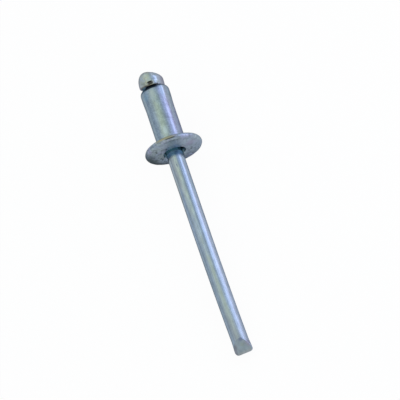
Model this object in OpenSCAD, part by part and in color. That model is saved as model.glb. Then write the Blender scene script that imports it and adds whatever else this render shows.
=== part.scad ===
// Open-end blind rivet, 3.2 mm, domed flange, with its mandrel as supplied, all in millimetres.
// Each piece is a profile turned about the rivet's axis. On that axis z = 0 is the seat of the
// flange, +z runs to the point of the mandrel and -z to the blind end. lie_down() then lays the
// rivet on a flat surface, where it rests on the rim of its flange and on its point.

/* [Rivet body] */
// Outside diameter of the tubular body
body_d = 3.15; // [2.9:0.05:4.4]
// Length of the body from the seat of its flange to its blind end
body_length = 7.15; // [4:0.05:20]
// Radius that rounds the outside of the blind end
end_round = 0.48; // [0.1:0.02:0.54]
// Amount by which the mandrel's head spreads the blind end, in radius
end_spread = 0.05; // [0.01:0.01:0.1]
// Length of the spread end, past the cone that leads to it
spread_length = 1.05; // [0.6:0.05:1.4]
// Length of that cone
spread_run = 1.4; // [0.4:0.1:1.8]
// Radius in the corner between the body and the flange
corner_fillet = 0.1; // [0.02:0.01:0.2]

/* [Flange] */
// Diameter of the flange
flange_d = 6.48; // [5.6:0.02:8]
// Height above the seat that the dome would reach on the axis
flange_crown = 0.95; // [0.85:0.01:1.4]
// Radius of the full round rim
rim_round = 0.32; // [0.1:0.01:0.36]
// Diameter of the flat that is pressed on the dome round the hole
mouth_flat_d = 3.7; // [3.2:0.05:4.4]
// Diameter of the funnel that leads into the hole, at that flat
mouth_d = 2.56; // [2.3:0.02:2.8]
// Angle between the funnel and the axis
mouth_angle = 32; // [25:1:50]
// Radius that rounds the edge of the funnel
mouth_round = 0.08; // [0.02:0.01:0.12]

/* [Mandrel] */
// Diameter of the wire
mandrel_d = 1.88; // [1.5:0.02:2]
// Length of the wire from the seat of the flange to its point
mandrel_projection = 25.8; // [15:0.1:40]
// Angle between each flat of the chisel point and the axis
point_angle = 31.3; // [20:0.1:50]
// Thickness left at the edge of the chisel point
point_edge = 0.12; // [0.05:0.01:0.4]
// Radius that rounds the two corners of the chisel point
point_round = 0.28; // [0.05:0.01:0.5]

/* [Mandrel head] */
// Diameter of the head at its widest
head_d = 2.9; // [2.7:0.02:3.2]
// Length of the head that stands out past the blind end
head_length = 2.14; // [1.9:0.02:4]
// Angle between the cone under the head and the axis
seat_angle = 36; // [32:1:50]
// Depth to which that cone sits in the blind end of the body
seat_depth = 0.2; // [0.14:0.01:0.3]
// Radius that rounds the lower edge of the head
head_edge_round = 0.08; // [0.03:0.01:0.1]
// Step between the two halves of the head in radius, where its dies met out of line
die_step = 0.09; // [0.02:0.01:0.14]
// Step between the tops of the two halves
die_slip = 0.05; // [0:0.01:0.1]
// Direction of the seam between those halves, as an angle about the axis
seam_angle = 320; // [0:1:360]
// Radius of the nick in the lower edge of the head
nick_radius = 0.2; // [0.05:0.01:0.3]
// Direction of the nick, as an angle about the axis
nick_angle = 356; // [0:1:360]

/* [Break neck] */
// Diameter left in the wire where it is made to break
neck_d = 1.3; // [0.9:0.02:1.4]
// Width of the groove at the surface of the wire
neck_width = 0.7; // [0.3:0.05:1.2]
// Distance from the blind end of the body to the middle of the groove
neck_depth = 0.9; // [0.8:0.05:2]

/* [Fits] */
// Clearance all round the wire in the bore of the body
bore_clearance = 0.08; // [0.02:0.01:0.1]

/* [Hidden] */
$fn = 96;

body_r = body_d / 2;
flange_r = flange_d / 2;
mandrel_r = mandrel_d / 2;
head_r = head_d / 2;
bore_r = mandrel_r + bore_clearance;
blind_end_z = -body_length;

// The spread blind end, whose shoulder leaves the cone's seat standing.
end_r = body_r + end_spread;
seat_r = mandrel_r + seat_depth * tan(seat_angle);
shoulder_r = min(end_round, end_r - seat_r);

// Centres of the arcs of the flange, each as [distance from the axis, height].
rim_centre = [flange_r - rim_round, rim_round];
crown_over_rim = flange_crown - 2 * rim_round;
dome_centre = [0, rim_round + (pow(crown_over_rim, 2) - pow(rim_centre.x, 2)) / (2 * crown_over_rim)];
dome_r = flange_crown - dome_centre.y;

// The flat round the hole and the funnel, which starts from the bore at funnel_z.
flat_z = dome_centre.y + sqrt(pow(dome_r, 2) - pow(mouth_flat_d / 2, 2));
funnel_z = flat_z - (mouth_d / 2 - bore_r) / tan(mouth_angle);
mouth_centre = [mouth_d / 2 + mouth_round / tan(45 + mouth_angle / 2), flat_z - mouth_round];

// The cone under the head starts from the wire here.
cone_top_z = blind_end_z + seat_depth;

// Each flat of the point leaves the side of the wire here.
flat_start_z = mandrel_projection - (mandrel_r - point_edge / 2) / tan(point_angle);

// A corner that ends on an arc is held this far inside it, so that no sliver stands out.
tuck = 0.0001;

// At rest one line touches the rim below and the wire where the lower flat starts.
rim_to_flat = [flat_start_z - rim_centre.y, rim_centre.x - mandrel_r];
lay_angle = atan2(rim_to_flat.y, rim_to_flat.x) + asin(rim_round / norm(rim_to_flat));
seat_height = rim_centre.x * cos(lay_angle) + rim_centre.y * sin(lay_angle) + rim_round;

// The origin lies midway between the top of the head and the edge of the point.
head_top_z = blind_end_z - head_length;
head_end_x = (head_top_z + head_r) * cos(lay_angle) - head_r;
point_end_x = mandrel_projection * cos(lay_angle) + point_edge / 2 * sin(lay_angle);
middle_x = (head_end_x + point_end_x) / 2;

// Lays the rivet down with its mandrel along +X. Angles about its axis start from the top.
module lie_down() {
    translate([-middle_x, 0, seat_height])
        rotate([0, 90 + lay_angle, 0])
            rotate([0, 0, 180])
                children();
}

// Where a ray from one point through another ends, at so many times the distance between them.
function past(from, through, times) = from + (through - from) * times;

// Distance from the axis to the cone under the head.
function cone_r(z) = mandrel_r + (cone_top_z - z) * tan(seat_angle);

// Centre of the circle that rounds the head's lower edge: it touches the cone, and lies at the
// given distance from the ball's centre.
function edge_centre(ball, distance, under) =
    let (
        start = [mandrel_r, cone_top_z] - head_edge_round * under,
        along = [under.y, -under.x],
        back = along * (start - ball),
        beside = pow(norm(start - ball), 2) - pow(distance, 2)
    )
    start + (sqrt(pow(back, 2) - beside) - back) * along;

// Section of the flange: dome with its flat and funnel, full round rim and flat seat.
module flange_profile() {
    beyond_dome = 1.2;
    funnel_side = [-cos(mouth_angle), sin(mouth_angle)];
    intersection() {
        translate(dome_centre)
            circle(dome_r);
        square([flange_r, flat_z]);
        polygon([
            [mouth_centre.x, 0],
            [rim_centre.x, 0],
            rim_centre,
            past(dome_centre, rim_centre, beyond_dome),
            past(dome_centre, [mouth_centre.x, flat_z], beyond_dome),
            [mouth_centre.x, flat_z],
        ]);
    }
    polygon([
        [bore_r, 0],
        [mouth_flat_d / 2, 0],
        [mouth_flat_d / 2, mouth_centre.y],
        mouth_centre,
        mouth_centre + (mouth_round - tuck) * funnel_side,
        [bore_r, funnel_z],
    ]);
    translate(mouth_centre)
        circle(mouth_round);
    translate(rim_centre)
        circle(rim_round);
}

// Section of the tube below the flange, with its spread and rounded blind end and the fillet.
module tube_profile() {
    cone_end_z = blind_end_z + spread_length;
    shoulder = [end_r - shoulder_r, blind_end_z + shoulder_r];
    overlap = corner_fillet / 2;
    polygon([
        [bore_r, blind_end_z],
        [shoulder.x, blind_end_z],
        shoulder,
        [end_r, shoulder.y],
        [end_r, cone_end_z],
        [body_r, cone_end_z + spread_run],
        [body_r, rim_round],
        [bore_r, rim_round],
    ]);
    translate(shoulder)
        intersection() {
            circle(shoulder_r);
            translate([-overlap, -shoulder_r])
                square(shoulder_r + overlap);
        }
    difference() {
        translate([body_r - overlap, -corner_fillet])
            square(corner_fillet + overlap);
        translate([body_r + corner_fillet, -corner_fillet])
            circle(corner_fillet);
    }
}

// Section of the cone that the mandrel's head presses into the blind end.
module seat_profile() {
    below = 1;
    polygon([
        [mandrel_r, cone_top_z],
        [cone_r(blind_end_z - below), blind_end_z - below],
        [mandrel_r, blind_end_z - below],
    ]);
}

module rivet_body() {
    color([0.60, 0.68, 0.73])
        lie_down()
            rotate_extrude()
                difference() {
                    union() {
                        flange_profile();
                        tube_profile();
                    }
                    seat_profile();
                }
}

// Section of one half of the head: a ball whose lower edge rounds into the cone below it.
module head_profile(r, top_z) {
    top = [0, top_z + r];
    under = [cos(seat_angle), sin(seat_angle)];
    edge = edge_centre(top, r - head_edge_round, under);
    side = (edge - top) / norm(edge - top);
    polygon([
        [0, cone_top_z],
        [mandrel_r, cone_top_z],
        edge + (head_edge_round - tuck) * under,
        edge,
        top,
    ]);
    translate(edge)
        circle(head_edge_round);
    intersection() {
        translate(top)
            circle(r);
        polygon([
            top,
            top + 2 * r * side,
            [2 * r, top_z - r],
            [0, top_z - r],
        ]);
    }
}

// The head, in two halves that differ by the step along the seam, with its nick.
module head() {
    difference() {
        rotate([0, 0, seam_angle])
            union() {
                rotate_extrude(angle = 180)
                    head_profile(head_r - die_step, head_top_z + die_slip);
                rotate([0, 0, 180])
                    rotate_extrude(angle = 180)
                        head_profile(head_r, head_top_z);
            }
        rotate([0, 0, nick_angle])
            translate([head_r, 0, cone_top_z - (head_r - mandrel_r) / tan(seat_angle) - nick_radius / 2])
                sphere(nick_radius);
    }
}

// The wire from its head to its rounded end, with the groove of the break neck.
module wire() {
    neck_z = blind_end_z + neck_depth;
    rotate_extrude()
        difference() {
            union() {
                translate([0, cone_top_z])
                    square([mandrel_r, mandrel_projection - point_round - cone_top_z]);
                translate([0, mandrel_projection - point_round])
                    square([mandrel_r - point_round, point_round]);
                translate([mandrel_r - point_round, mandrel_projection - point_round])
                    intersection() {
                        circle(point_round);
                        square(point_round);
                    }
            }
            polygon([
                [mandrel_r, neck_z - neck_width / 2],
                [mandrel_r, neck_z + neck_width / 2],
                [neck_d / 2, neck_z],
            ]);
        }
}

// Everything outside the two flats of the point.
module point_cuts() {
    beyond = 1;
    reach = (beyond + mandrel_r - point_edge / 2) / tan(point_angle);
    for (way = [0, 180])
        rotate([90, 0, way])
            linear_extrude(4 * mandrel_r, center = true)
                polygon([
                    [point_edge / 2, mandrel_projection],
                    [mandrel_r + beyond, mandrel_projection - reach],
                    [mandrel_r + beyond, mandrel_projection + beyond],
                    [point_edge / 2, mandrel_projection + beyond],
                ]);
}

module mandrel() {
    color([0.66, 0.73, 0.82])
        lie_down()
            difference() {
                union() {
                    head();
                    wire();
                }
                point_cuts();
            }
}

rivet_body();
mandrel();
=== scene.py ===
# An open-end blind rivet of 3.2 mm with a domed flange, as supplied, lying on a pale floor.
# Its pieces are made in millimetres along the rivet's own axis, where z = 0 is the seat of the
# flange and +z runs to the point, and are then laid down in the frame, which is in metres.
# Angles about that axis start from local x, which points down once the rivet lies. They are in
# radians in the meshes, and in degrees in the materials.
import math

import bpy
import numpy as np
from mathutils import Matrix, Vector, noise


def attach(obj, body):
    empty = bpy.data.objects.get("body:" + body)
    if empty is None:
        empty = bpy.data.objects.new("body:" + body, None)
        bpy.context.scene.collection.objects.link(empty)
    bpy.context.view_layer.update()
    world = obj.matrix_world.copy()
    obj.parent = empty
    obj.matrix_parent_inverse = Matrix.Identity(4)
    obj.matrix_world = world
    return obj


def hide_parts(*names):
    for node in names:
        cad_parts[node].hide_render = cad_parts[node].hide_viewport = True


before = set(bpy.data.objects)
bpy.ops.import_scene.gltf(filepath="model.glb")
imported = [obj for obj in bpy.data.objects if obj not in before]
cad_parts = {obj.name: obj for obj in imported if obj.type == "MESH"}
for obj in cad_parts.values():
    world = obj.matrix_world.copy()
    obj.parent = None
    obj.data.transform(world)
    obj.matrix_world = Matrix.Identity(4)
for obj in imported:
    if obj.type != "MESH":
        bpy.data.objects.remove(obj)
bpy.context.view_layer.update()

MM = 0.001
quarter = math.pi / 2
sharp_angle = math.radians(30)
points_around = 256
angles_around = [2 * math.pi * j / points_around for j in range(points_around)]

# Rivet body
body_r = 1.575
body_length = 7.15
end_spread = 0.05
spread_start_z = -4.7
spread_end_z = -6.1
end_round = 0.48
corner_fillet = 0.1
bore_r = 1.02
flange_r = 3.24
flange_crown = 0.95
rim_round = 0.32

# Mouth of the bore: its funnel, the pressed flat round it and the dish where the dome begins
mouth_r = 1.28
mouth_z = 0.8
funnel_start_z = 0.1
funnel_depth = 0.4
funnel_opening = 0.02
lip_depth = 0.16
lip_opening = 0.05
flat_width = 0.12
flat_rise = 0.012
dish_r = 1.85
dish_fall = 0.015
dish_blend = 0.015

# Mandrel
mandrel_r = 0.94
projection = 25.84
point_angle = math.radians(31.3)
point_edge = 0.12
point_round_near = 0.4
point_round_far = 0.36
point_softness = 0.035
point_flare = 0.06
flare_start = 1.6
flare_end = 0.5
wire_shift = -0.075
wire_slope = 0.0045
wire_bend = 0.00079
bend_start = 9

# Head of the mandrel, whose dies met out of line: for each half its widest radius, the height
# of its dome and where that dome starts. The dome leans towards one side.
big_half = (1.45, 1.52, -7.77)
small_half = (1.355, 1.205, -8.03)
head_lean = 0.25
lean_angle = math.radians(260)
under_tilt = 0.19
under_tilt_angle = math.radians(300)
seat_angle = math.radians(36)
seat_depth = 0.2
head_taper = 0.06
head_edge_round = 0.08
seam_angle = math.radians(140)
seam_width = 0.025
seam_swell = 0.07
seam_reach = 0.4
cone_rings = 10

# Pit in the lower edge of the head, and the painted shade in it and under the head
pit_angle = math.radians(176.5)
pit_z = -7.52
pit_width = 0.34
pit_height = 0.15
pit_depth = 0.18
pit_shade = 0.66
shade_rings = 5

# Small unevenness from forming: the rim of the flange, its dome, the tube and the head
rim_ripple = 0.02
dome_ripple = 0.02
tube_ripple = 0.006
head_ripple = 0.016
ripple_density = 1.2
ripple_density_along = 0.3
dome_ripple_density = 1.3
dome_even_z = 0.1
dome_uneven_z = 0.5
head_ripple_density = 1.1
head_ripple_r = 0.4
even_r = bore_r + 0.3
uneven_r = bore_r + 0.45

# Flat left by a gripping jaw
grip_azimuth = math.radians(141.5)
grip_half = 0.14
grip_depth = 0.012
grip_start_z = -5.4
grip_full_z = -6.1

# Break neck
neck_r = 0.65
neck_width = 0.7
neck_z = -body_length + 0.9

# How it lies: on the rim of its flange and on the start of the lower flat of its point
flat_start = projection - (mandrel_r - point_edge / 2) / math.tan(point_angle)
rim_r = flange_r - rim_round
run = flat_start - rim_round
rise = rim_r - mandrel_r
lay_angle = math.atan2(rise, run) + math.asin(rim_round / math.hypot(run, rise))
seat_height = rim_r * math.cos(lay_angle) + rim_round * math.sin(lay_angle) + rim_round
head_r = big_half[0]
head_top_z = big_half[2] - big_half[1]
head_end_x = (head_top_z + head_r) * math.cos(lay_angle) - head_r
point_end_x = projection * math.cos(lay_angle) + point_edge / 2 * math.sin(lay_angle)
middle_x = (head_end_x + point_end_x) / 2
lay_turn = math.radians(90) + lay_angle
LAY = Matrix.Translation((-middle_x * MM, 0, seat_height * MM)) @ Matrix.Rotation(lay_turn, 4, "Y")


def arc(centre, radius, start, end, count):
    """Points of an arc, its angles in radians from +r towards +z, without its last point."""
    angles = np.linspace(start, end, count, endpoint=False)
    return [(centre[0] + radius * math.cos(a), centre[1] + radius * math.sin(a)) for a in angles]


def straight(start, end, count):
    """Points from start towards end, without the end."""
    steps = np.linspace(0, 1, count, endpoint=False)
    return [(start[0] + t * (end[0] - start[0]), start[1] + t * (end[1] - start[1])) for t in steps]


def rounded(corners, times):
    """The same open line with its corners cut again and again, its ends kept, without the last."""
    points = list(corners)
    for _ in range(times):
        cut = [points[0]]
        for (r0, z0), (r1, z1) in zip(points, points[1:]):
            cut.append((0.75 * r0 + 0.25 * r1, 0.75 * z0 + 0.25 * z1))
            cut.append((0.25 * r0 + 0.75 * r1, 0.25 * z0 + 0.75 * z1))
        points = cut[:1] + cut[2:-1] + [points[-1]]
    return points[:-1]


def smooth_step(low, high, value):
    """0 at low, 1 at high and smooth between them."""
    t = min(1, max(0, (value - low) / (high - low)))
    return t * t * (3 - 2 * t)


def soft_min(a, b, width):
    """The lesser of two values, rounded where they differ by less than the width."""
    h = min(1, max(0, 0.5 + 0.5 * (b - a) / width))
    return b * (1 - h) + a * h - width * h * (1 - h)


def in_scene(name, data):
    """A new object with this data, in the scene."""
    item = bpy.data.objects.new(name, data)
    bpy.context.scene.collection.objects.link(item)
    return item


def mesh_object(name, points, faces):
    """A piece from local millimetres, laid down in the frame."""
    flat = np.array(points, float).reshape(-1, 3) * MM
    turn = np.array(LAY.to_3x3())
    placed = flat @ turn.T + np.array(LAY.translation)
    mesh = bpy.data.meshes.new(name)
    mesh.from_pydata(placed.tolist(), [], faces)
    mesh.validate()
    mesh.shade_smooth()
    mesh.set_sharp_from_angle(angle=sharp_angle)
    return in_scene(name, mesh)


def ring_faces(rings, closed):
    """Quads between rings of vertices; closed joins the last ring to the first."""
    faces = []
    for i in range(rings if closed else rings - 1):
        low = i * points_around
        high = (i + 1) % rings * points_around
        for j in range(points_around):
            k = (j + 1) % points_around
            faces.append((low + j, low + k, high + k, high + j))
    return faces


# Profile of the rivet body as (r, z), stretch by stretch, each with its number of points
crown_over_rim = flange_crown - 2 * rim_round
dome_z = rim_round + (crown_over_rim**2 - rim_r**2) / (2 * crown_over_rim)
dome_r = flange_crown - dome_z
to_dish = math.acos(dish_r / dome_r)
to_dome = to_dish - dish_blend
to_rim = math.atan2(rim_round - dome_z, rim_r)
cone_top = -body_length + seat_depth
seat_r = mandrel_r + seat_depth * math.tan(seat_angle)
bore_end_z = cone_top - (bore_r - mandrel_r) / math.tan(seat_angle)
mouth_corners = [
    (bore_r, funnel_start_z),
    (bore_r + funnel_opening, mouth_z - funnel_depth),
    (mouth_r - lip_opening, mouth_z - lip_depth),
    (mouth_r, mouth_z),
    (mouth_r + flat_width, mouth_z + flat_rise),
    (dish_r - flat_width, dome_z + dome_r * math.sin(to_dish) - dish_fall),
    (dome_r * math.cos(to_dome), dome_z + dome_r * math.sin(to_dome)),
]
shoulder = (body_r + end_spread - end_round, -body_length + end_round)
tube_side = straight((body_r, -corner_fillet), (body_r, shoulder[1]), 64)
body_profile = (
    straight((seat_r, -body_length), (bore_r, bore_end_z), 3)
    + straight((bore_r, bore_end_z), (bore_r, funnel_start_z), 24)
    + rounded(mouth_corners, 3)
    + arc((0, dome_z), dome_r, to_dome, to_rim, 36)
    + arc((rim_r, rim_round), rim_round, to_rim, -quarter, 26)
    + straight((rim_r, 0), (body_r + corner_fillet, 0), 14)
    + arc((body_r + corner_fillet, -corner_fillet), corner_fillet, quarter, 2 * quarter, 6)
    + [(r + end_spread * smooth_step(spread_start_z, spread_end_z, z), z) for r, z in tube_side]
    + arc(shoulder, end_round, 0, -quarter, 14)
    + straight((shoulder[0], -body_length), (seat_r, -body_length), 2)
)


def body_points():
    """The turned profile, made slightly uneven, with the flat of a gripping jaw near its end."""
    points = []
    for r, z in body_profile:
        outer = smooth_step(even_r, uneven_r, r)
        out_on_rim = smooth_step(dish_r, rim_r, r)
        ripple = tube_ripple + (rim_ripple - tube_ripple) * out_on_rim
        on_dome = smooth_step(dome_even_z, dome_uneven_z, z) * smooth_step(mouth_r, dish_r, r)
        on_end = smooth_step(grip_start_z, grip_full_z, z)
        scaled_r = ripple_density * r
        for a in angles_around:
            here = Vector((scaled_r * math.cos(a), scaled_r * math.sin(a), ripple_density_along * z))
            beside = body_r * math.remainder(a - grip_azimuth, 2 * math.pi) / grip_half
            grip = on_end * grip_depth * math.exp(-beside * beside)
            wide = r + outer * ripple * noise.noise(here) - grip
            lift = on_dome * dome_ripple * noise.noise(here * dome_ripple_density)
            points.append((wide * math.cos(a), wide * math.sin(a), z + lift))
    return points


rivet_body = mesh_object("rivet_body_formed", body_points(), ring_faces(len(body_profile), True))


def head_edge(widest):
    """Centre of the arc that rounds the lower edge of the head into the cone under it."""
    r = widest - head_taper - head_edge_round
    down = (head_edge_round + (r - mandrel_r) * math.cos(seat_angle)) / math.sin(seat_angle)
    return r, cone_top - down


def head_profile(half):
    """Profile of one half of the head, from the top of its dome to the wire."""
    widest, height, start_z = half
    dome = [(widest * math.sin(t), start_z - height * math.cos(t)) for t in np.linspace(0, quarter, 56)]
    edge = head_edge(widest)
    side = [
        (widest - head_taper * t * t, start_z + t * (edge[1] - start_z)) for t in np.linspace(0, 1, 9)
    ]
    under = (
        edge[0] + head_edge_round * math.cos(seat_angle),
        edge[1] + head_edge_round * math.sin(seat_angle),
    )
    return (
        dome
        + side[1:-1]
        + arc(edge, head_edge_round, 0, seat_angle, 7)
        + straight(under, (mandrel_r, cone_top), cone_rings)
    )


def head_points():
    """Points of the head below its top, ring by ring, and how much painted shade lies at each."""
    big = head_profile(big_half)
    small = head_profile(small_half)
    under_r, under_z = head_edge(small_half[0])
    cone_start = len(big) - cone_rings
    points, painted_shade = [], []
    for i, ((r1, z1), (r0, z0)) in list(enumerate(zip(big, small)))[1:]:
        on_cone = min(1, max(0, (i - cone_start) / shade_rings))
        for a in angles_around:
            share = smooth_step(-seam_width, seam_width, r1 * math.sin(a - seam_angle))
            from_seam = max(0, math.remainder(seam_angle - a, 2 * math.pi))
            swell = 1 + seam_swell * math.exp(-from_seam / seam_reach) * (1 - share)
            r = r0 * swell + share * (r1 - r0)
            z = z0 + share * (z1 - z0)
            start_z = small_half[2] + share * (big_half[2] - small_half[2])
            z -= max(0, start_z - z) * head_lean * r * math.cos(a - lean_angle)
            at_edge = smooth_step(start_z, under_z, z) * smooth_step(mandrel_r, under_r, r)
            z -= under_tilt * r * math.cos(a - under_tilt_angle) * at_edge
            along = r1 * math.remainder(a - pit_angle, 2 * math.pi)
            pit = math.exp(-((along / pit_width) ** 4) - ((z - pit_z) / pit_height) ** 4)
            scaled_r = head_ripple_density * r
            here = Vector((scaled_r * math.cos(a), scaled_r * math.sin(a), head_ripple_density * z))
            ripple = head_ripple * noise.noise(here) * smooth_step(0, head_ripple_r, r)
            r += ripple - pit_depth * pit
            points.append((r * math.cos(a), r * math.sin(a), z))
            painted_shade.append(max(on_cone, pit_shade * pit))
    return points, painted_shade


def wire_stations():
    """Heights of the wire's rings, from the head to the end of its point."""
    groove = (neck_z - neck_width / 2, neck_z, neck_z + neck_width / 2)
    before_flats = flat_start - 0.1
    tip_start = projection - 0.4
    stretches = (
        (cone_top, groove[0], 4),
        (groove[0], groove[1], 5),
        (groove[1], groove[2], 5),
        (groove[2], before_flats, 140),
        (before_flats, tip_start, 50),
    )
    stations = [z for low, high, count in stretches for z in np.linspace(low, high, count, endpoint=False)]
    tip = projection + (tip_start - projection) * (1 - np.sin(np.linspace(0, quarter, 22)))
    return stations + list(tip)


def wire_offset(z):
    """How far the wire's own middle lies to the side of the rivet's axis."""
    in_bore = smooth_step(cone_top, 0, z)
    return wire_shift * in_bore + wire_slope * max(0, z) + wire_bend * max(0, z - bend_start) ** 2


def wire_points():
    """Points of the wire from the head on: the break neck, the shank and the point."""
    points = []
    for z in wire_stations():
        groove = max(0, 1 - abs(z - neck_z) / (neck_width / 2)) * (mandrel_r - neck_r)
        flat = point_edge / 2 + (projection - z) * math.tan(point_angle)
        flare = 1 + point_flare * smooth_step(projection - flare_start, projection - flare_end, z)
        for a in angles_around:
            corner = point_round_near + (1 + math.sin(a)) / 2 * (point_round_far - point_round_near)
            into = max(0, z - (projection - corner))
            r = mandrel_r - groove - (corner - math.sqrt(max(0, corner**2 - into**2)))
            x = r * math.cos(a)
            if abs(x) > flat - point_softness:
                x = math.copysign(soft_min(abs(x), flat, point_softness), x)
            points.append((x, r * math.sin(a) * flare + wire_offset(z), z))
    return points


def end_faces(last):
    """Faces across the narrow end of the point, whose ring starts at this vertex."""
    faces = []
    half = points_around // 2
    for j in range(-half // 2, half // 2):
        k = half - j
        ring = [i % points_around for i in (j, j + 1, k - 1, k)]
        corners = list(dict.fromkeys(last + i for i in ring))
        if len(corners) > 2:
            faces.append(tuple(corners))
    return faces


def mandrel_mesh():
    """Points, faces and painted shade of the whole mandrel, as one closed mesh."""
    top = (0, 0, (big_half[2] - big_half[1] + small_half[2] - small_half[1]) / 2)
    on_head, painted_shade = head_points()
    on_wire = wire_points()
    points = [top] + on_head + on_wire
    rings = (len(points) - 1) // points_around
    faces = [(0, 1 + (j + 1) % points_around, 1 + j) for j in range(points_around)]
    faces += [tuple(1 + i for i in face) for face in ring_faces(rings, False)]
    faces += end_faces(1 + (rings - 1) * points_around)
    return points, faces, [0.0] + painted_shade + [0.0] * len(on_wire)


mandrel_points, mandrel_faces, mandrel_shade = mandrel_mesh()
mandrel = mesh_object("mandrel_drawn", mandrel_points, mandrel_faces)
# The painted shade of the pit and under the head goes to the material as a point attribute.
mandrel.data.attributes.new("painted_shade", "FLOAT", "POINT").data.foreach_set("value", mandrel_shade)


class Nodes:
    """Adds and joins the nodes of a material or a world."""

    def __init__(self, owner):
        owner.use_nodes = True
        self.owner = owner
        self.tree = owner.node_tree

    def add(self, kind, **settings):
        node = self.tree.nodes.new(kind)
        for key, value in settings.items():
            setattr(node, key, value)
        return node

    def plug(self, socket, value):
        """Joins another socket to this one, or sets its value."""
        if isinstance(value, bpy.types.NodeSocket):
            self.tree.links.new(value, socket)
        elif socket.type == "RGBA":
            socket.default_value = (*value, 1)
        else:
            socket.default_value = value

    def math(self, operation, *values):
        node = self.add("ShaderNodeMath", operation=operation)
        for socket, value in zip(node.inputs, values):
            self.plug(socket, value)
        return node.outputs[0]

    def vector_math(self, operation, *values):
        node = self.add("ShaderNodeVectorMath", operation=operation)
        for socket, value in zip(node.inputs, values):
            self.plug(socket, value)
        return node.outputs["Value" if operation in ("LENGTH", "DOT_PRODUCT") else "Vector"]

    def remap(self, value, low, high, bottom, top, shape="LINEAR"):
        """The value from low to high made into one from bottom to top."""
        node = self.add("ShaderNodeMapRange", interpolation_type=shape)
        for socket, number in zip(node.inputs, (value, low, high, bottom, top)):
            self.plug(socket, number)
        return node.outputs[0]


# Patterns are laid out in millimetres along the rivet's own axis. Noise seldom leaves its span.
noise_span = (0.3, 0.7)
patch_spread = 0.4
patch_softness = 0.1
spot_core = 0.2
edge_tint = (0.45, 0.45, 0.48)


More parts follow.
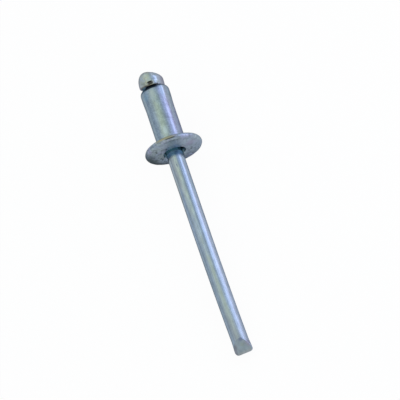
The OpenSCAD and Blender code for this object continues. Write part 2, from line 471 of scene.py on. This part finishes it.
class Finish(Nodes):
    """A metal whose colour, roughness and relief are built up from patterns."""

    def __init__(self, name, bent=False):
        """Where it is bent, the patterns follow the wire's own middle."""
        super().__init__(bpy.data.materials.new(name))
        self.shader = self.tree.nodes["Principled BSDF"]
        self.shader.inputs["Metallic"].default_value = 1
        self.shader.inputs["Specular Tint"].default_value = (*edge_tint, 1)
        local = self.add("ShaderNodeMapping", vector_type="TEXTURE")
        local.inputs["Location"].default_value = LAY.translation
        local.inputs["Rotation"].default_value = (0, lay_turn, 0)
        local.inputs["Scale"].default_value = (MM, MM, MM)
        self.plug(local.inputs["Vector"], self.add("ShaderNodeTexCoord").outputs["Object"])
        parts = self.add("ShaderNodeSeparateXYZ")
        self.plug(parts.inputs[0], local.outputs["Vector"])
        self.x, self.y, self.z = parts.outputs
        if bent:
            self.y = self.math("SUBTRACT", self.y, self.offset())
        joined = self.add("ShaderNodeCombineXYZ")
        for socket, value in zip(joined.inputs, (self.x, self.y, self.z)):
            self.plug(socket, value)
        self.place = joined.outputs[0]
        squares = [self.math("POWER", value, 2) for value in (self.x, self.y)]
        self.r = self.math("SQRT", self.math("ADD", *squares))

    def offset(self):
        """The same as wire_offset, for the height of the place that is shaded."""
        in_bore = self.fade(self.z, cone_top, 0.0)
        outside = self.math("MAXIMUM", self.z, 0.0)
        past_bend = self.math("MAXIMUM", self.math("SUBTRACT", self.z, bend_start), 0.0)
        curved = self.math("MULTIPLY", self.math("POWER", past_bend, 2.0), wire_bend)
        sloped = self.math("MULTIPLY_ADD", outside, wire_slope, curved)
        return self.math("MULTIPLY_ADD", in_bore, wire_shift, sloped)

    def noise(self, size, detail, stretch, seed):
        """Noise from 0 to 1 with spots of about this size in mm, stretched along the axis."""
        scaled = self.add("ShaderNodeMapping")
        scaled.inputs["Location"].default_value = (seed, 2 * seed, 3 * seed)
        scaled.inputs["Scale"].default_value = (1 / size, 1 / size, 1 / (size * stretch))
        self.plug(scaled.inputs["Vector"], self.place)
        node = self.add("ShaderNodeTexNoise")
        self.plug(node.inputs["Vector"], scaled.outputs["Vector"])
        node.inputs["Scale"].default_value = 1
        node.inputs["Detail"].default_value = detail
        return node.outputs[0]

    def fade(self, value, start, full):
        """0 at start and before it, and 1 from full on, which may be the smaller of the two."""
        bottom, top = (0, 1) if start < full else (1, 0)
        return self.remap(value, min(start, full), max(start, full), bottom, top, "SMOOTHSTEP")

    def patches(self, size, share, stretch, seed):
        """Soft patches that cover about this share of the surface."""
        middle = 0.5 + (0.5 - share) * patch_spread
        pattern = self.noise(size, 3, stretch, seed)
        return self.fade(pattern, middle - patch_softness, middle + patch_softness)

    def facing(self, azimuth, half_width, full=0.0):
        """1 within an angle of this azimuth, fading to 0 at the half width, all in degrees."""
        a = math.radians(azimuth)
        across = self.math("MULTIPLY", self.y, math.sin(a))
        along = self.math("MULTIPLY_ADD", self.x, math.cos(a), across)
        share = self.math("DIVIDE", along, self.r)
        return self.fade(share, math.cos(math.radians(half_width)), math.cos(math.radians(full)))

    def spot(self, azimuth, r, z, across, along):
        """1 round a point of the surface, fading to 0 at these distances across and along the axis."""
        a = math.radians(azimuth)
        shift = self.vector_math("SUBTRACT", self.place, (r * math.cos(a), r * math.sin(a), z))
        scaled = self.vector_math("DIVIDE", shift, (across, across, along))
        return self.fade(self.vector_math("LENGTH", scaled), 1.0, spot_core)

    def both(self, *shares):
        product = shares[0]
        for other in shares[1:]:
            product = self.math("MULTIPLY", product, other)
        return product

    def zone(self, side=None, r=(), z=(), patches=None, spot=None):
        """The share that is inside all of these: a side of the piece (azimuth, half width and
        full width), fades over the radius and over the height, patches, and a spot."""
        shares = [self.fade(self.r, *fade) for fade in r]
        shares += [self.fade(self.z, *fade) for fade in z]
        if side:
            shares.append(self.facing(*side))
        if patches:
            shares.append(self.patches(*patches))
        if spot:
            shares.append(self.spot(*spot))
        return self.both(*shares)

    def mix(self, share, a, b, blend="MIX"):
        node = self.add("ShaderNodeMix", data_type="RGBA", blend_type=blend)
        self.plug(node.inputs["Factor"], share)
        self.plug(node.inputs[6], a)
        self.plug(node.inputs[7], b)
        return node.outputs[2]

    def tint(self, colour, over, amount=1.0, **zone):
        """The colour with this much of another one over it in a zone."""
        share = self.zone(**zone)
        if amount < 1:
            share = self.both(share, amount)
        return self.mix(share, colour, over)

    def vary(self, colour, pattern, low, high):
        """The colour times a noise pattern that is made into factors from low to high."""
        return self.mix(1.0, colour, self.remap(pattern, *noise_span, low, high), "MULTIPLY")

    def relief(self, height, depth):
        """Adds bumps of the given depth in mm to the shader's normal."""
        bump = self.add("ShaderNodeBump")
        self.plug(bump.inputs["Height"], height)
        bump.inputs["Distance"].default_value = depth * MM
        before = self.shader.inputs["Normal"]
        if before.is_linked:
            self.plug(bump.inputs["Normal"], before.links[0].from_socket)
        self.plug(before, bump.outputs["Normal"])

    def finish(self, colour, roughness):
        self.plug(self.shader.inputs["Base Color"], colour)
        self.plug(self.shader.inputs["Roughness"], roughness)
        return self.owner


# Colours of the tube
body_blue = (0.31, 0.40, 0.48)
body_grey = (0.35, 0.42, 0.46)
body_green = (0.37, 0.46, 0.44)
body_teal = (0.31, 0.395, 0.455)
body_violet = (0.335, 0.365, 0.51)
body_mint = (0.45, 0.56, 0.60)
body_sea = (0.29, 0.42, 0.505)
body_pale = (0.375, 0.46, 0.49)
body_glint = (0.40, 0.49, 0.60)
grip_gap_shade = (0.255, 0.32, 0.41)
body_join_shade = (0.07, 0.105, 0.16)

# Colours of the flange
flange_grey = (0.30, 0.365, 0.45)
flange_green = (0.31, 0.37, 0.40)
flange_violet = (0.34, 0.365, 0.48)
flange_purple = (0.36, 0.34, 0.45)
flange_light = (0.50, 0.58, 0.66)
flange_dark = (0.09, 0.115, 0.125)
lip_highlight = (0.47, 0.47, 0.53)
olive_reflection = (0.35, 0.34, 0.24)
olive_shade = (0.075, 0.085, 0.07)

# Colours of the wire and its head
wire_blue = (0.36, 0.45, 0.55)
wire_grey = (0.39, 0.46, 0.53)
wire_green = (0.41, 0.49, 0.485)
wire_teal = (0.345, 0.43, 0.50)
wire_violet = (0.385, 0.45, 0.55)
wire_warm = (0.41, 0.465, 0.475)
highlight_edge_shade = (0.325, 0.40, 0.475)
wire_left_shade = (0.25, 0.295, 0.35)
wire_dull = (0.325, 0.37, 0.41)
wire_mouth_shade = (0.23, 0.40, 0.55)
wire_mouth_dark_shade = (0.15, 0.26, 0.37)
head_yellow = (0.42, 0.46, 0.38)
head_purple = (0.36, 0.355, 0.42)
head_highlight = (0.55, 0.61, 0.65)
head_shade = (0.32, 0.37, 0.35)

# Colours of the flats of the point
point_grey = (0.27, 0.33, 0.385)
point_green = (0.28, 0.33, 0.385)
point_dark = (0.19, 0.225, 0.32)
point_violet = (0.31, 0.32, 0.41)
point_rim_shade = (0.21, 0.225, 0.275)
point_moss = (0.255, 0.305, 0.32)
point_pale = (0.34, 0.365, 0.395)

# Colours of painted shade in the corners: under the head, in its pit, at the end of the tube and in the
# mouth of the bore
brown_shade = (0.20, 0.185, 0.15)
crevice_shade = (0.01, 0.016, 0.027)
crevice_teal = (0.065, 0.12, 0.165)
crevice_side = (240, 42, 14)
mouth_shade = (0.30, 0.45, 0.50)
mouth_deep = (0.09, 0.14, 0.17)


def tube_colour(coat, mottle, grain, streaks):
    """Blue and grey, greener to the left and more violet to the right, with painted shade along the
    highlight by the jaw's flat and under the head, and a painted glint near the end.
    """
    tube = coat.mix(coat.patches(2.6, 0.5, 1.8, 1.7), body_blue, body_grey)
    tube = coat.tint(tube, body_green, side=(184, 34), z=[(-6.6, -5.4)], patches=(1.2, 0.7, 2.6, 5.5))
    tube = coat.tint(tube, body_teal, side=(222, 44), patches=(1.3, 0.6, 1.8, 9.1))
    tube = coat.tint(tube, body_violet, side=(118, 50), patches=(1.6, 0.75, 2.5, 8.8))
    tube = coat.vary(tube, mottle, 0.84, 1.14)
    tube = coat.vary(tube, streaks, 0.93, 1.06)
    tube = coat.vary(tube, grain, 0.87, 1.13)
    # Painted shade down the middle of the highlight by the jaw's flat, which splits it in two.
    tube = coat.tint(tube, grip_gap_shade, side=(142, 8, 2), z=[(-5.0, -5.9)])
    # Painted shade on the tube's shoulder in the gap under the right of the head.
    tube = coat.tint(tube, body_join_shade, side=(111, 43, 26), z=[(-6.8, -6.94)])
    tube = coat.tint(tube, body_pale, spot=(179, 1.6, -6.14, 0.5, 0.7))
    tube = coat.tint(tube, body_glint, spot=(132.5, 1.62, -6.2, 0.2, 0.9))
    tube = coat.tint(tube, body_mint, spot=(178, body_r, -1.4, 0.4, 0.8))
    return coat.tint(tube, body_sea, spot=(213, body_r, -6.0, 0.55, 0.7))


def flange_colour(coat, mottle):
    """Grey with dark specks, with painted shade low on the left and round the mouth, a painted olive
    reflection and painted shade where the rim meets the tube, and painted highlights on the top of the
    rim, the lip and the right side.
    """
    face = coat.mix(coat.patches(1.1, 0.5, 1.0, 3.3), flange_grey, flange_green)
    face = coat.tint(face, flange_violet, patches=(1.4, 0.35, 1.0, 6.4))
    face = coat.tint(face, flange_dark, r=[(3.1, 2.6)], patches=(0.34, 0.25, 1.0, 12.6))
    face = coat.vary(face, mottle, 0.78, 1.2)
    face = coat.vary(face, coat.noise(0.18, 3, 1.0, 21.2), 0.72, 1.28)
    # Painted shade low on the left of the face, where it curves down to the floor.
    face = coat.tint(face, flange_dark, side=(286, 60), r=[(1.9, 2.8)], z=[(0.1, 0.4)])
    # Painted highlight along the top of the rim, and painted light over the right side of the face.
    face = coat.tint(face, flange_light, 0.5, side=(160, 76), r=[(3.1, 2.6)], z=[(0.3, 0.5)])
    face = coat.tint(face, flange_light, 0.4, side=(80, 60))
    # Painted shade round the mouth of the bore, at the ends of the gap round the wire and above it.
    for azimuth, r, size in ((274, 1.68, 0.22), (72, 1.88, 0.2), (196, 1.75, 0.16)):
        face = coat.tint(face, flange_dark, spot=(azimuth, r, mouth_z, size, 0.3))
    on_rim = (2.7, 2.95)
    # Painted shade and a painted olive reflection on the rim where it meets the tube.
    face = coat.tint(face, olive_shade, side=(170, 14, 4), r=[on_rim], z=[(0.26, 0.34), (0.5, 0.42)])
    face = coat.tint(face, olive_reflection, side=(180, 26), r=[on_rim], z=[(0.4, 0.3)])
    # Painted highlight in pink on the pressed flat round the mouth.
    face = coat.tint(face, lip_highlight, 0.6, side=(150, 58), r=[(1.26, 1.34), (1.62, 1.48)])
    return coat.tint(face, flange_purple, 0.7, spot=(112, 2.25, mouth_z - 0.1, 0.75, 0.6))


def zinc_body():
    """Satin zinc with a thin blue passivation, mottled green and violet, duller on the flange."""
    coat = Finish("zinc_body")
    mottle = coat.noise(0.42, 3, 1.4, 4.1)
    grain = coat.noise(0.14, 2, 1.0, 7.3)
    streaks = coat.noise(0.14, 2, 18.0, 2.9)
    flange_fade = (-0.12, 0.02)
    on_flange = coat.fade(coat.z, *flange_fade)
    tube = tube_colour(coat, mottle, grain, streaks)
    colour = coat.mix(on_flange, tube, flange_colour(coat, mottle))

    # Painted shade: the end of the tube and its shoulder under the head are darkened as the crevice there.
    end = coat.zone(z=[(-body_length + 0.07, -body_length + 0.01)], r=[(1.45, 1.25)])
    on_shoulder = coat.zone(z=[(-6.62, -6.78)], side=(215, 84, 52))
    in_crevice = coat.mix(coat.facing(*crevice_side), crevice_shade, crevice_teal)
    colour = coat.mix(coat.math("MAXIMUM", end, on_shoulder), colour, in_crevice)
    # Painted shade down in the funnel of the bore's mouth.
    in_funnel = coat.mix(coat.facing(84, 60, 20), mouth_shade, mouth_deep)
    down_in_mouth = (mouth_z - 0.02, mouth_z - 0.14)
    colour = coat.tint(colour, in_funnel, z=[down_in_mouth, flange_fade], r=[(1.32, 1.24)])

    on_tube = coat.remap(grain, 0.0, 1.0, 0.13, 0.25)
    roughness = coat.math("MULTIPLY_ADD", on_flange, 0.2, on_tube)
    coat.relief(streaks, 0.006)
    coat.relief(grain, 0.004)
    coat.relief(mottle, 0.006)
    return coat.finish(colour, roughness)


def wire_colour(coat, mottle, grain, streaks):
    """Blue and grey, with a green middle, a violet right side and a yellower head; painted shade down the
    left side, along the highlight's left edge and on the head's left rim; and a painted highlight that
    makes the head brighter, dimmed by painted shade low by its seam.
    """
    wire = coat.mix(coat.patches(2.2, 0.5, 3.0, 11.3), wire_blue, wire_grey)
    wire = coat.tint(wire, wire_green, side=(187, 30), patches=(0.9, 0.7, 5.0, 15.5))
    left = coat.mix(coat.fade(coat.z, 4.0, 13.0), wire_warm, wire_teal)
    wire = coat.tint(wire, left, side=(224, 44), patches=(1.1, 0.65, 5.0, 19.5))
    # Painted shade line along the left edge of the highlight.
    wire = coat.tint(wire, highlight_edge_shade, side=(164, 7, 3), z=[(20.0, 17.0), (1.2, 2.2)])
    # Painted shade down the left side of the wire.
    wire = coat.tint(wire, wire_left_shade, 0.7, side=(261, 27, 6))
    wire = coat.tint(wire, wire_violet, side=(112, 50), patches=(1.5, 0.7, 4.0, 23.5))
    on_head = (-7.0, -7.15)
    wire = coat.tint(wire, head_yellow, side=(196, 36), z=[on_head], patches=(0.8, 0.6, 1.0, 27.1))
    # Purple-grey on the head's right lobe; on its left rim the same colour is painted shade.
    for side in ((80, 62, 30), (262, 34, 6)):
        wire = coat.tint(wire, head_purple, 0.9, side=side, z=[on_head])
    # Painted highlight on the head beside its seam.
    wire = coat.tint(wire, head_highlight, spot=(154.8, 1.3, -8.38, 0.22, 0.36))
    wire = coat.tint(wire, head_highlight, 0.4, spot=(150.8, 1.44, -7.98, 0.2, 0.24))
    # Painted shade that dims the head's highlight low by the seam.
    wire = coat.tint(wire, head_shade, spot=(141.4, 1.42, -7.44, 0.26, 0.22))
    wire = coat.tint(wire, wire_dull, 0.75, side=(183, 40), z=[(20.0, 23.5)])
    wire = coat.vary(wire, mottle, 0.88, 1.12)
    wire = coat.vary(wire, streaks, 0.88, 1.1)
    return coat.vary(wire, grain, 0.93, 1.07)


def flats_colour(coat, mottle):
    """The cut flats of the point: duller, with a pale end and painted shade along the left rim."""
    flats = coat.mix(coat.patches(0.5, 0.5, 1.0, 31.3), point_grey, point_green)
    flats = coat.tint(flats, point_moss, spot=(163.8, 0.571, 25.0, 0.34, 0.3))
    flats = coat.tint(flats, point_violet, spot=(118, 0.97, 25.18, 0.45, 0.4))
    flats = coat.tint(flats, point_pale, z=[(25.55, 25.8)])
    # Painted shade along the left rim of the flats.
    flats = coat.tint(flats, point_rim_shade, side=(246, 36, 12), r=[(0.62, 0.84)])
    return coat.vary(flats, mottle, 0.88, 1.12)


def zinc_wire():
    """Drawn wire under the same plating, brighter, with fine lines along it."""
    coat = Finish("zinc_mandrel", bent=True)
    mottle = coat.noise(0.38, 3, 2.4, 14.9)
    grain = coat.noise(0.1, 2, 1.0, 17.1)
    streaks = coat.noise(0.1, 2, 30.0, 12.7)
    colour = wire_colour(coat, mottle, grain, streaks)

    tan_point = math.tan(point_angle)
    flat_x = coat.math("MULTIPLY_ADD", coat.z, -tan_point, point_edge / 2 + projection * tan_point)
    on_flats = coat.fade(coat.math("SUBTRACT", flat_x, coat.math("ABSOLUTE", coat.x)), 0.05, 0.0)
    colour = coat.mix(on_flats, colour, flats_colour(coat, mottle))
    colour = coat.tint(colour, point_dark, spot=(165, mandrel_r, flat_start + 0.1, 0.42, 0.32))
    colour = coat.tint(colour, point_violet, spot=(120, mandrel_r, flat_start + 0.5, 0.45, 0.4))
    fleck = (180.5, mandrel_r, 2.65, 0.1, 0.7)
    colour = coat.tint(colour, point_dark, spot=fleck, patches=(0.12, 0.5, 3.0, 37.7))

    above_seat = (0.0, 0.2)
    # Painted shade on the wire where it goes into the mouth of the bore, with a darker spot there.
    colour = coat.tint(colour, wire_mouth_shade, z=[(1.6, 1.3), above_seat])
    colour = coat.tint(colour, wire_mouth_dark_shade, spot=(158, mandrel_r, 1.15, 0.5, 0.4))
    # Painted shade in the pit and in the crevice under the head: brown where it fades out, near black and
    # teal deeper in.
    painted_shade = coat.add("ShaderNodeAttribute", attribute_name="painted_shade").outputs["Fac"]
    colour = coat.mix(coat.fade(painted_shade, 0.0, 0.45), colour, brown_shade)
    in_crevice = coat.mix(coat.facing(*crevice_side), crevice_shade, crevice_teal)
    colour = coat.mix(coat.fade(painted_shade, 0.2, 0.9), colour, in_crevice)
    # Painted shade on the wire down inside the mouth.
    colour = coat.tint(colour, mouth_shade, z=[(1.02, 0.9), above_seat])

    towards_point = coat.remap(coat.z, 6.0, 20.0, 0.0, 0.22)
    roughness = coat.math("ADD", coat.remap(grain, 0.0, 1.0, 0.13, 0.24), towards_point)
    coat.relief(streaks, 0.006)
    coat.relief(grain, 0.002)
    coat.relief(mottle, 0.004)
    return coat.finish(colour, roughness)


rivet_body.data.materials.append(zinc_body())
mandrel.data.materials.append(zinc_wire())

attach(rivet_body, "root")
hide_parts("rivet_body")
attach(mandrel, "root")
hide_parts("mandrel")

# Camera: the seat of the flange is at this pixel of the photograph, 400 pixels square
picture = 400
seat_pixel = (172.79, 146.23)
pixels_per_mm = 9.15
camera_distance = 700
lean = math.radians(23.4)
turn_in_picture = math.radians(18.6)
roll = math.radians(10)
sensor = 36

# The rivet's axis, its upward side and its left side, first as the camera sees them
axis_seen = Vector(
    (
        math.sin(turn_in_picture) * math.cos(lean),
        -math.cos(turn_in_picture) * math.cos(lean),
        math.sin(lean),
    )
)
across_seen = Vector((math.cos(turn_in_picture), math.sin(turn_in_picture), 0))
facing_seen = axis_seen.cross(across_seen)
up_seen = math.cos(roll) * facing_seen - math.sin(roll) * across_seen
side_seen = math.cos(roll) * across_seen + math.sin(roll) * facing_seen
axis_row = LAY.to_3x3() @ Vector((0, 0, 1))
up_row = LAY.to_3x3() @ Vector((-1, 0, 0))
side_row = Vector((0, 1, 0))


def seen(direction):
    """A direction given as the camera sees it, turned into the frame."""
    return (
        direction.dot(axis_seen) * axis_row
        + direction.dot(up_seen) * up_row
        + direction.dot(side_seen) * side_row
    )


def facing_turn(across, along, outward):
    """The rotation of a camera or a light that looks against the outward direction."""
    return Matrix((across, along, outward)).transposed().to_quaternion()


right, up, back = (seen(Vector(v)) for v in ((1, 0, 0), (0, 1, 0), (0, 0, 1)))
shift_x = (seat_pixel[0] - picture / 2) / pixels_per_mm * MM
shift_y = (picture / 2 - seat_pixel[1]) / pixels_per_mm * MM
camera = in_scene("camera", bpy.data.cameras.new("camera"))
camera.data.sensor_width = sensor
camera.data.lens = pixels_per_mm * camera_distance * sensor / picture
camera.data.clip_start = 0.01
camera.location = LAY.translation - right * shift_x - up * shift_y + back * camera_distance * MM
camera.rotation_mode = "QUATERNION"
camera.rotation_quaternion = facing_turn(right, up, back)
bpy.context.scene.camera = camera

# Floor: it looks nearly white to the camera, and less so in the metal
floor_half = 1.5
floor_colour = (0.95, 0.945, 0.94)
floor_white = 0.95
floor_white_in_metal = 0.25
floor_corners = [(x * floor_half, y * floor_half, 0) for x, y in ((-1, -1), (1, -1), (1, 1), (-1, 1))]
floor_mesh = bpy.data.meshes.new("floor")
floor_mesh.from_pydata(floor_corners, [], [(0, 1, 2, 3)])
floor = in_scene("floor", floor_mesh)
floor_material = bpy.data.materials.new("floor")
floor_nodes = Nodes(floor_material)
floor_shader = floor_nodes.tree.nodes["Principled BSDF"]
floor_shader.inputs["Base Color"].default_value = (*floor_colour, 1)
floor_shader.inputs["Roughness"].default_value = 1
floor_shader.inputs["Specular IOR Level"].default_value = 0
path = floor_nodes.add("ShaderNodeLightPath").outputs
in_metal = floor_nodes.math("MAXIMUM", path["Is Glossy Ray"], path["Is Transmission Ray"])
to_camera = floor_nodes.math("MULTIPLY", path["Is Camera Ray"], floor_white)
white_share = floor_nodes.math("MULTIPLY_ADD", in_metal, floor_white_in_metal, to_camera)
blend = floor_nodes.add("ShaderNodeMixShader")
glow = floor_nodes.add("ShaderNodeEmission").outputs["Emission"]
for socket, value in zip(blend.inputs, (white_share, floor_shader.outputs["BSDF"], glow)):
    floor_nodes.plug(socket, value)
surface = floor_nodes.tree.nodes["Material Output"].inputs["Surface"]
floor_nodes.plug(surface, blend.outputs["Shader"])
floor_mesh.materials.append(floor_material)


def softbox(name, mirror_angle, half_angle, distance, middle_z, length, radiance, colour):
    """A light placed by where the rivet's round sides mirror it for the camera: mirror_angle is
    twice the angle about the axis from the side that faces the camera, and middle_z is the place
    along the axis at which its middle shows."""
    a = math.radians(mirror_angle)
    mirrored = math.cos(a) * facing_seen + math.sin(a) * across_seen
    toward = seen(-math.sin(lean) * axis_seen + math.cos(lean) * mirrored)
    long_side = (axis_row - axis_row.dot(toward) * toward).normalized()
    width = 2 * distance * math.tan(math.radians(half_angle))
    data = bpy.data.lights.new(name, "AREA")
    data.shape = "RECTANGLE"
    data.size = width
    data.size_y = length
    data.color = colour
    data.energy = radiance * math.pi * width * length
    light = in_scene(name, data)
    light.location = LAY @ Vector((0, 0, middle_z * MM)) + toward * distance
    light.rotation_mode = "QUATERNION"
    light.rotation_quaternion = facing_turn(long_side.cross(toward), long_side, toward)


# Lights: two for the whole rivet and two that widen the highlight towards the point. The angles
# are in degrees, the distance and the length in metres, and the middle in mm.
softbox("key", 61, 11, 0.4, 6, 0.6, 0.87, (0.69, 0.755, 0.91))
softbox("key_spill", 48, 20, 0.42, 6, 0.6, 0.25, (0.5, 0.66, 1.0))
softbox("wire_strip", 36, 13, 0.09, 19.5, 0.022, 0.8, (0.80, 0.85, 0.97))
softbox("wire_end_strip", 53, 27, 0.05, 24.5, 0.012, 0.48, (0.78, 0.81, 1.0))

# Sky: bands of light from the left of the picture, at -1, to its right, at 1
sky_bands = (
    (-0.95, (0.50, 0.55, 0.64)),
    (-0.80, (0.74, 0.78, 0.84)),
    (-0.45, (0.96, 0.99, 0.92)),
    (-0.20, (0.88, 0.93, 0.86)),
    (0.05, (0.72, 0.78, 0.80)),
    (0.28, (0.60, 0.68, 0.78)),
    (0.60, (0.62, 0.66, 0.84)),
    (0.95, (0.96, 0.91, 1.05)),
)
world = bpy.data.worlds.new("studio")
sky = Nodes(world)
outward = sky.add("ShaderNodeTexCoord").outputs["Generated"]
across_sky = sky.vector_math("DOT_PRODUCT", outward, seen(across_seen))
ramp = sky.add("ShaderNodeValToRGB")
ramp.color_ramp.interpolation = "EASE"
while len(ramp.color_ramp.elements) < len(sky_bands):
    ramp.color_ramp.elements.new(0.5)
for element, (side, colour) in zip(ramp.color_ramp.elements, sky_bands):
    element.position = (side + 1) / 2
    element.color = (*colour, 1)
sky.plug(ramp.inputs[0], sky.remap(across_sky, -1, 1, 0, 1))
sky.plug(sky.tree.nodes["Background"].inputs["Color"], ramp.outputs[0])
bpy.context.scene.world = world
bpy.context.scene.view_settings.view_transform = "Standard"
